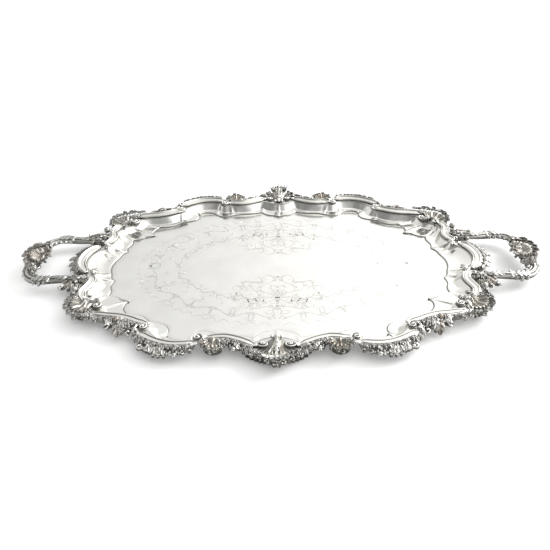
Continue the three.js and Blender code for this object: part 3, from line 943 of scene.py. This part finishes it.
def corner_foliage():
    """Leaves, tendrils and a bud outside the scroll beside the corner shell."""
    form = Form()
    ground(form, CORNER_LINE, 208, 164, [3, 9, 11, 12, 12, 10, 6])
    spray(form, CORNER_LINE, 198, 165, [9, 11, 12, 10, 6], 3)
    curl(form, (201.5, 135.5), 4.2, 60, 1.15, 1.2, False, 11.5, 4.0)
    leaf(form, (205, 126), 135, 13, 7, 3, 16.5, 3.0, 2.0, -2)
    ball(form, (190.5, 129.5, 18.6), 4.0, 0.8, 7, tarnish_and_shade=0.3, warmth=0.9)
    curl(form, (183.5, 130.5), 3.0, 200, 1.2, 1.0, False, 17.5, 3.0)
    leaf(form, (190, 131), 112, 20, 14, 3, 15.8, 6.0, 2.6, -4, 0.4, warmth=0.5, tarnish_and_shade=0.4)
    leaf(form, (183, 131), 88, 16, 10, 3, 16.2, 5.0, 2.4, 1, 0.4, tarnish_and_shade=0.3)
    frond(form, (178, 130), 80, 10, 5, 45, 17.5, 3.0, 1.8)
    curl(form, (173, 146), 3.6, 120, 1.1, 1.1, True, 10.5, 3.5)
    curl(form, (183, 145), 2.4, 20, 1.0, 0.8, True, 10.0, 2.0)
    bud(form, (166.5, 146.5), 2.8, 100, 11.5)
    return form


def long_foliage():
    """The longest run of leaves, with a flower of six beads near the corner."""
    form = Form()
    ground(form, LONG_LINE, 156, 103, [3, 8, 10, 11, 11, 9, 7, 9, 7, 2])
    spray(form, LONG_LINE, 152, 98, [8, 10, 11, 9, 8.5, 7, 5.5], 11)
    curl(form, (162.5, 149), 3.2, 60, 1.2, 1.0, True, 17.5, 2.5)
    frond(form, (163, 148), 50, 9, 5, 50, 16.0, 5.0, 1.6)
    frond(form, (159, 155), 65, 9, 5, 50, 16.0, 5.0, 1.6)
    curl(form, (154.5, 170), 4.2, 210, 1.15, 1.2, True, 11.0, 4.0)
    bud(form, (151, 172), 2.6, 80, 12.0)
    flower = (143, 174)
    for i in range(6):
        ball(form, (*step(flower, 2.7, 60 * i), 14.0), 1.6, tarnish_and_shade=0.1)
    ball(form, (*flower, 15.2), 1.6, tarnish_and_shade=0.1)
    leaf(form, (136, 168), 105, 14, 8, 3, 16.5, 6.0, 2.2, -2, warmth=0.35)
    leaf(form, (129, 170), 80, 13, 8, 3, 16.5, 6.0, 2.2, 1, warmth=0.35)
    for place in ((137, 181), (131, 182.5), (125, 182.5)):
        curl(form, place, 2.1, 0, 1.0, 0.8, True, 9.5, 2.0)
    bud(form, (113, 182.5), 3.2, 80, 11.0)
    curl(form, (118, 180.5), 2.6, 30, 1.1, 0.9, False, 11.0, 2.5)
    return form


def inner_foliage():
    """The leaves next to the middle shell, with a small shell of their own."""
    form = Form()
    ground(form, INNER_LINE, 83, 56, [4, 10, 12, 11, 4])
    ground(form, INNER_LINE, 54, 36, [3, 9, 8, 3])
    radii = [13, 17, 20, 21, 20, 17, 13]
    levels = (18.0, 16.0, 19.0, 8.5)
    shell_dish(form, (71, 159), 25, 155, radii, levels, 9, (0.5,), 3.0, 0.8, 0.5, 0.5)
    edge = [(84, 168), (80, 176), (71, 180.5), (62, 177), (58, 169)]
    border(form, edge, 8, 6.0, 21, 19.0, 2.0, -2.5, 5.0, 0.3, 0.2, 2.4)
    frond(form, (78, 162), 60, 9, 5, 45, 17.5, 2.5)
    frond(form, (64, 162), 110, 9, 5, 45, 17.5, 2.5)
    bud(form, (48, 176), 3.3, 90, 12.5)
    curl(form, (44, 173), 3.4, 150, 1.15, 1.1, False, 14.5, 3.0)
    frond(form, (83, 166), 60, 8, 4, 45, 18.5, 2.0, 1.6)
    spray(form, INNER_LINE, 56, 37, [6, 8, 8, 5], 31)
    return form


def end_foliage():
    """The saw-edged leaves outside the end scroll, darkened with painted shade where they slope down and
    outwards.
    """
    form = Form()
    arc = end_arc(44, 60)[1]
    depth = 4.5 + 5.5 * np.cos(np.linspace(-math.pi / 2, math.pi / 2, len(arc)))
    without_lip = np.delete(np.array(GROUND_SECTION), -2, axis=0)
    side = 4.6 + depth[:, None] * without_lip[:, 0]
    up = np.broadcast_to(without_lip[:, 1], side.shape)
    sweep(form, arc, np.dstack([side, up]), 0.95, base=16.4)
    for degrees, length, lean in (
        (0, 15, 0), (13, 13, 12), (-13, 13, -12), (25, 11, 10), (-25, 11, -10), (36, 8, 8), (-36, 8, -8),
    ):
        root = step(END_CENTRE, 45, degrees)
        leaf(form, root, degrees + lean, length, 8.5, 3, 16.6, 4.5, 2.0, 0.0, 1.4, tarnish_and_shade=0.5)
    for degrees in (-30, -19, -7, 7, 19, 30):
        frond(form, step(END_CENTRE, 44.5, degrees), degrees, 7.5, 4, 45, 17.4, 2.5, 1.4, tarnish_and_shade=0.4)
    return form


def corner_shell():
    """A rococo shell: a smooth hollow, darkened with painted shade and tarnish, between a few rays left
    bright, with a frilled border.
    """
    form = Form()
    radii = [21, 23.5, 24.5, 25, 26.5, 27.5, 27, 26, 26]
    levels = (18.0, 14.6, 18.8, 7.5)
    shell_dish(form, (236, 92), -24, 118, radii, levels, 12, (0.3, 0.52, 0.74), 4.0, 0.5, 0.6, 0.2)
    edge = [
        (256, 82), (259.5, 93), (259.5, 105), (254, 116), (245, 121), (235, 123), (225, 126), (215, 129),
    ]
    border(form, edge, 17, 7.0, 5, 18.8, 1.0, -4.0, 6.5, tip=3.0)
    for x, y, heading in ((243, 93, 215), (233, 97, 200), (228, 93, 160), (238, 88, 235)):
        frond(form, (x, y), heading, 7.5, 4, 48, 18.6, 1.5, 1.2)
    leaf(form, (231, 112), 95, 15, 7, 3, 16.8, 4.0, 2.0, 2)
    leaf(form, (226, 114), 120, 14, 7, 3, 16.8, 4.0, 2.0, -2)
    curl(form, (222, 124), 3.0, 60, 1.1, 1.0, False, 13.5, 2.5)
    curl(form, (254, 88), 3.0, 200, 1.1, 1.0, True, 16.5, 2.0)
    return form


def centre_shell():
    """The middle shell: two hollows, darkened with painted shade and tarnish, either side of a tall ribbed
    tongue, between volutes.
    """
    form = Form()
    radii = [40, 37, 34.5, 34, 36, 41, 36, 34, 34.5, 37, 40]
    ribs = (0.36, 0.43, 0.5, 0.57, 0.64)
    crown = [-6, -5, -4, -2.5, 0.5, 2, 0.5, -2.5, -4, -5, -6]
    levels = (16.0, 14.4, 18.4, 8.5)
    shell_dish(form, (0, 160), 21, 159, radii, levels, 14, ribs, 4.0, 0.45, 0.58, 0.25, crown)
    half = [(39, 174, -5.5), (30, 180, -4.5), (19, 187, -2.5), (9, 195, 0)]
    edge = [*half, (0, 201, 1.5), *((-x, y, z) for x, y, z in reversed(half))]
    border(form, edge, 25, 6.5, 8, 18.8, 0.5, -4.0, 6.0, 0.1, 0.05, 3.0)
    for side in (1, -1):
        centre = np.array([side * 14.7, 169.5])
        # The ground of each volute, darkened with painted shade and tarnish.
        mound(form, centre, (7.2, 4.9), ((1.0, 10.0), (0.97, 14.4), (0.5, 14.0), (0.1, 13.8)), 28, 1.0)
        winding = spiral((0, 0), (side * 8.0, -1.5), 2.1, 1.1, side < 0) * (1.0, 0.68) + centre
        path = resample(winding, 0.7)
        t = np.linspace(0, 1, len(path))
        tube(form, np.column_stack([path, 15.2 + 2.0 * t]), 1.0 - 0.3 * t)
        ball(form, (*centre, 17.6), 1.2)
        for x, y, lean, size in ((26, 171, 50, 10), (33, 172, 65, 8), (22, 177, 30, 9), (29, 178, 50, 7)):
            frond(form, (side * x, y), 90 - side * lean, size, 5, 48, 16.0, 3.5, 1.4, tarnish_and_shade=0.1)
        curl(form, (side * 27, 181), 3.0, 90, 1.1, 1.0, side > 0, 13.0, 2.0)
        curl(form, (side * 17, 186), 2.8, 90, 1.1, 0.9, side > 0, 16.0, 2.0)
        ball(form, (side * 4.5, 192, 19.0), 1.9)
        ball(form, (side * 5.5, 159.5, 17.0), 2.2)
        frond(form, (side * 3, 160.5), 90 + side * 70, 7.5, 4, 45, 17.6, 1.0)
    leaf(form, (0, 163), 90, 29, 5, 4, 17.0, -3.0, 2.0, 0, 1.0)
    ball(form, (0, 159, 17.6), 2.4)
    bud(form, (0, 193.5), 3.3, 90, 18.0)
    for lean in (-68, -46, -24, 0, 24, 46, 68):
        leaf(form, (0.09 * lean, 192), 90 - lean, 10.5, 3.2, 2, 20.5, -5.0, 1.0, 0, 1.2, tarnish_and_shade=0.1)
    return form


# ---------------------------------------------------------------- handles


HANDLE_ARM = [
    (262, 48.5), (275, 47.4), (290, 47.0), (304, 48.4),
    (317, 49.2), (329, 45.5), (337.5, 36.5), (340.5, 27.5),
]
HANDLE_EYE = (331.5, 22.5)
HANDLE_HALF_WIDTH = 5.9


def handle_half(form, side):
    """One arm of a handle: reeds from the root that roll up into a volute by the shell."""
    arm = smooth_line(HANDLE_ARM, 1.0)
    winding = spiral(HANDLE_EYE, arm[-1], 1.8, 1.2, True)
    path = resample(np.vstack([arm, winding[1:]]), 0.9)
    s = lengths(path)
    wound = lengths(winding)[-1]
    left = s[-1] - s
    width = HANDLE_HALF_WIDTH - 1.0 * ramp(s, 20, 0)
    radius = np.linalg.norm(path - np.asarray(HANDLE_EYE), axis=1)
    inside = ramp(left, wound * 1.3, wound * 0.8)
    width = width * (1 - inside) + inside * np.clip(0.3 * radius, 0.8, HANDLE_HALF_WIDTH)
    height = 3.1 + 1.6 * ramp(s, 8, 34)
    rise = 15.3 + 2.6 * ramp(left, wound, 0) - 0.9 * (1 - ramp(s, 0, 30))
    angle = full_turn(48)
    reeds = np.abs(np.cos(math.pi * np.cos(angle)))
    grooved = ramp(width, 1.8, 3.5)[:, None]
    depth = 0.36 * (1 - np.clip(reeds * 1.25, 0, 1)) * grooved
    fat = np.sign(np.sin(angle)) * np.abs(np.sin(angle)) ** 0.75
    up = np.minimum(height, width * 1.1)[:, None] * fat * (1 - depth)
    reach = width[:, None] * np.cos(angle)
    plan = path[:, None] - outward(path)[:, None] * reach[..., None]
    # Painted shade and tarnish: the arm is toned down all over, its plain end a little less, with darker
    # grooves between the reeds and an underside darkened with painted shade.
    plain = ramp(s, 45, 60)[:, None]
    shade = 0.42 - 0.16 * plain + 2.6 * depth + 0.8 * ramp(-np.sin(angle), -0.45, 0.2)
    form.rings(np.dstack([plan * (1, side), rise[:, None] + up]), np.clip(shade, 0, 1))


def handle_form():
    """A handle's two arms, with leaves along them and a core behind its shell."""
    form = Form()
    # The core behind the shell is darkened with painted shade.
    core = [(344, -30, 15.5), (347, -15, 15.5), (348, 0, 15.5), (347, 15, 15.5), (344, 30, 15.5)]
    tube(form, smooth_line(core, 2.0), 3.2, 12, 0.6)
    for side in (1, -1):
        handle_half(form, side)
        ball(form, (HANDLE_EYE[0], side * HANDLE_EYE[1], 20.0), 1.7)
        for y in (43.5, 47.5, 51.5, 55):
            ball(form, (302.5, side * y, 18.6), 1.9)
        leaf(form, (303, side * 49.5), side * 3, 23, 13, 4, 19.2, 1.0, 1.8, side * -1.0, 1.0, tarnish_and_shade=0.15)
        for x, y, heading, size in (
            (307, 52.5, 80, 5.5), (313, 54, 70, 5.5), (320, 53, 60, 5.5), (341, 38, 10, 4),
        ):
            frond(form, (x, side * y), side * heading, size, 4, 48, 17.0, 3.0, 1.4)
        for x, y, heading, size in (
            (306, 44.5, 260, 6), (312, 45, 275, 6.5), (319, 44.5, 280, 6.5), (325, 41, 290, 6.5),
            (329, 35.5, 310, 6),
        ):
            frond(form, (x, side * y), side * heading, size, 4, 48, 17.2, 2.5, 1.4)
        curl(form, (315, side * 56), 2.2, 0, 1.0, 0.8, side > 0, 14.0, 2.0)
    return form


def handle_shell():
    """The shell at the top of a handle, hollow in the middle with a high frilled edge."""
    form = Form()
    radii = [18, 20, 22, 23.5, 24.5, 25, 24.5, 23.5, 22, 20, 18]
    levels = (21.0, 19.0, 26.0, 14.0)
    ribs = (0.2, 0.35, 0.5, 0.65, 0.8)
    shell_dish(form, (324, 0), -78, 78, radii, levels, 12, ribs, 4.0, 0.55, 0.28, 0.3)
    half = [(328, -26), (338, -25.5), (345, -18), (349.5, -8)]
    edge = [*half, (351, 0), *((x, -y) for x, y in reversed(half))]
    border(form, edge, 15, 8.5, 13, 24.4, 0.0, -5.0, 6.0, 0.4, 0.0, 2.6)
    border(form, edge, 15, 6.5, 14, 21.0, 3.0, -2.5, 5.0, 0.3, 0.1, 1.0)
    inner_edge = [(333, 20), (327, 15), (324, 7), (323, 0), (324, -7), (327, -15), (333, -20)]
    border(form, inner_edge, 9, 6.0, 17, 21.5, 1.0, -2.0, 3.0, 0.4, 0.25)
    for side in (1, -1):
        curl(form, (335, side * 9), 3.4, 90 * side, 1.1, 1.0, side > 0, 20.0, 2.5)
        frond(form, (329, side * 5), side * 40, 12, 5, 40, 20.5, 0.0, 1.6, warmth=0.5)
        frond(form, (336, side * 20), side * 60, 8, 4, 45, 21.5, 1.0, 1.6, warmth=0.3)
    return form


def root_leaf():
    """The leaf and flower that cover the solder joint of a handle."""
    form = Form()
    angle = full_turn(36)
    reach = (12 + 1.2 * np.sin(5 * angle), 13 + 1.2 * np.sin(4 * angle))
    levels = ((1.0, 9.0), (1.05, 11.0), (0.8, 14.5), (0.4, 16.0), (0.05, 16.2))
    # The mound under the leaves is darkened with painted shade and tarnish.
    mound(form, (266, 53), reach, levels, len(angle), 0.8, 0.4)
    flower = (262.5, 50.5)
    for heading in range(20, 380, 60):
        frond(form, step(flower, 1.2, heading), heading, 7.5, 3, 30, 18.2, 1.2, 1.4, 0.1, 0.15)
    ball(form, (*flower, 20.0), 2.0, 0.8)
    for x, y, heading, size in (
        (268, 54, 25, 11), (269, 47, -10, 12), (266, 58, 60, 11), (260, 58, 95, 10),
        (272, 58, 45, 9), (275, 51, 10, 10), (256, 52, 150, 8), (270, 43, -30, 8),
    ):
        frond(form, (x, y), heading, size, 5, 46, 17.0, 3.5, 1.6, 0.5, 0.1, 0.5)
    leaf(form, (272, 48), -2, 24, 10, 4, 18.2, 1.0, 1.8, 0.5, tarnish_and_shade=0.35)
    curl(form, (281.5, 62), 4.0, 250, 1.15, 1.3, False, 12.5, 4.0)
    bud(form, (284, 64.5), 2.6, 40, 12.5)
    curl(form, (272, 66), 3.0, 60, 1.1, 0.9, True, 12.5, 3.0)
    curl(form, (262, 67), 2.6, 90, 1.1, 0.9, True, 12.5, 3.0)
    ball(form, (260.5, 72.5, 18.0), 4.6, tarnish_and_shade=0.55)
    ball(form, (279, 52, 21.5), 2.4)
    tube(form, [(257, 66, 14.5), (259.5, 69, 14.5), (260.5, 72, 15.0)], 1.6, tarnish_and_shade=0.3)
    return form


def build_castings():
    for places, name, form, node, slot in (
        (QUARTERS, "corner_leaves", corner_foliage(), "side_foliage_corner", "foliage"),
        (QUARTERS, "long_leaves", long_foliage(), "side_foliage_long", "foliage"),
        (QUARTERS, "inner_leaves", inner_foliage(), "side_foliage_inner", "foliage"),
        (QUARTERS, "corner_fan", corner_shell(), "corner_shell", "shell"),
        (QUARTERS, "root_leaves", root_leaf(), "handle_root_leaf", "foliage"),
        (ENDS, "end_leaves", end_foliage(), "end_leaf", "foliage"),
        (ENDS, "handle", handle_form(), "handle_bow", "handle"),
        (ENDS, "handle_fan", handle_shell(), "handle_shell", "shell"),
        (SIDES, "centre_fan", centre_shell(), "centre_shell", "shell"),
    ):
        form.pieces(places, name, CAST, node, slot)


# ---------------------------------------------------------------- stage, light and camera


def build_stage():
    """A sheet of white paper, a hair below the tray so that the two don't share a plane."""
    half, drop = 6.0, -0.0002
    corners = [(-half, -half, drop), (half, -half, drop), (half, half, drop), (-half, half, drop)]
    mesh = bpy.data.meshes.new("table_top")
    mesh.from_pydata(corners, [], [(0, 1, 2, 3)])
    material = bpy.data.materials.new("white_paper")
    paper = Wiring(material)
    grey, white = (0.93, 0.93, 0.93, 1), (1, 1, 1, 1)
    looks = {"Base Color": grey, "Roughness": 0.9, "Emission Color": white, "Emission Strength": 0.15}
    paper.fill(paper.nodes["Principled BSDF"], looks)
    mesh.materials.append(material)
    floor = bpy.data.objects.new("table_top", mesh)
    bpy.context.scene.collection.objects.link(floor)


def build_world():
    """A white room that is darker where the camera and the person behind it stand, as the tray
    reflects it. Seen directly, the room is plain."""
    world = bpy.data.worlds.new("white_room")
    bpy.context.scene.world = world
    wiring = Wiring(world)
    around = wiring.node("ShaderNodeTexCoord", {}).outputs["Generated"]

    def span(value, low, high, to_low, to_high):
        return wiring.span(value, low, high, to_low, to_high, "SMOOTHSTEP")

    def toward(direction, low, high, to_low, to_high):
        """Changes from to_low to to_high as a direction in the room nears the given one."""
        node = wiring.node("ShaderNodeVectorMath", {0: around, 1: direction})
        node.operation = "DOT_PRODUCT"
        return span(node.outputs["Value"], low, high, to_low, to_high)

    def times(first, second):
        return wiring.combined("MULTIPLY", first, second, clamped=False)

    front, upward, right = (0, -1, 0), (0, 0, 1), (1, 0, 0)
    dim = times(toward(front, -0.04, 0.14, 0.0, 1.0), toward(upward, 0.14, 0.34, 0.0, 1.0))
    dim = times(dim, toward(upward, 0.9, 0.985, 1.0, 0.0))
    dim = times(dim, span(wiring.noise(around, 3.2, 1.0), 0.36, 0.6, 0.72, 1.0))
    dim = times(dim, toward(right, 0.05, 0.6, 1.0, 0.35))
    strength = times(span(dim, 0.0, 1.0, 1.0, 0.3), toward(right, -0.35, 0.7, 0.83, 1.9))
    seen_directly = wiring.node("ShaderNodeLightPath", {}).outputs["Is Camera Ray"]
    seen = wiring.node("ShaderNodeMix", {0: seen_directly, 2: strength, 3: 0.95})
    white = (1.0, 1.0, 0.995, 1)
    wiring.fill(wiring.nodes["Background"], {"Strength": seen.outputs[0], "Color": white})


def build_lights():
    """A soft box beyond the right-hand handle."""
    light = bpy.data.lights.new("soft_box", "AREA")
    light.shape = "RECTANGLE"
    light.size = 1.1
    light.size_y = 0.8
    light.energy = 24
    box = bpy.data.objects.new("soft_box", light)
    box.location = (1.5, 0.8, 1.0)
    box.rotation_euler = (-box.location).to_track_quat("-Z", "Y").to_euler()
    bpy.context.scene.collection.objects.link(box)


def build_camera():
    """A camera at the photograph's viewing angle. Its focal length is in pixels of a square frame."""
    focal_pixels, frame_pixels, sensor = 479.0, 550.0, 36.0
    distance, elevation, yaw, roll = 656.0, math.radians(37), math.radians(1.69), math.radians(-1.62)
    target = Vector((-3.9, -24.6, FLOOR_TOP))
    level = math.cos(elevation)
    back = Vector((math.sin(yaw) * level, -math.cos(yaw) * level, math.sin(elevation)))
    right = (-back).cross(Vector((0, 0, 1))).normalized()
    up = right.cross(-back)
    turned_right = math.cos(roll) * right + math.sin(roll) * up
    turned_up = -math.sin(roll) * right + math.cos(roll) * up
    camera = bpy.data.cameras.new("camera")
    camera.sensor_width = sensor
    camera.lens = focal_pixels / frame_pixels * sensor
    camera.clip_start = 0.01
    holder = bpy.data.objects.new("camera", camera)
    place = Matrix((turned_right, turned_up, back)).transposed().to_4x4()
    place.translation = (target + back * distance) * MM
    holder.matrix_world = place
    bpy.context.scene.collection.objects.link(holder)
    bpy.context.scene.camera = holder


build_camera()
build_body()
build_scrolls()
build_castings()
build_stage()
build_world()
build_lights()
bpy.context.scene.view_settings.view_transform = "Standard"
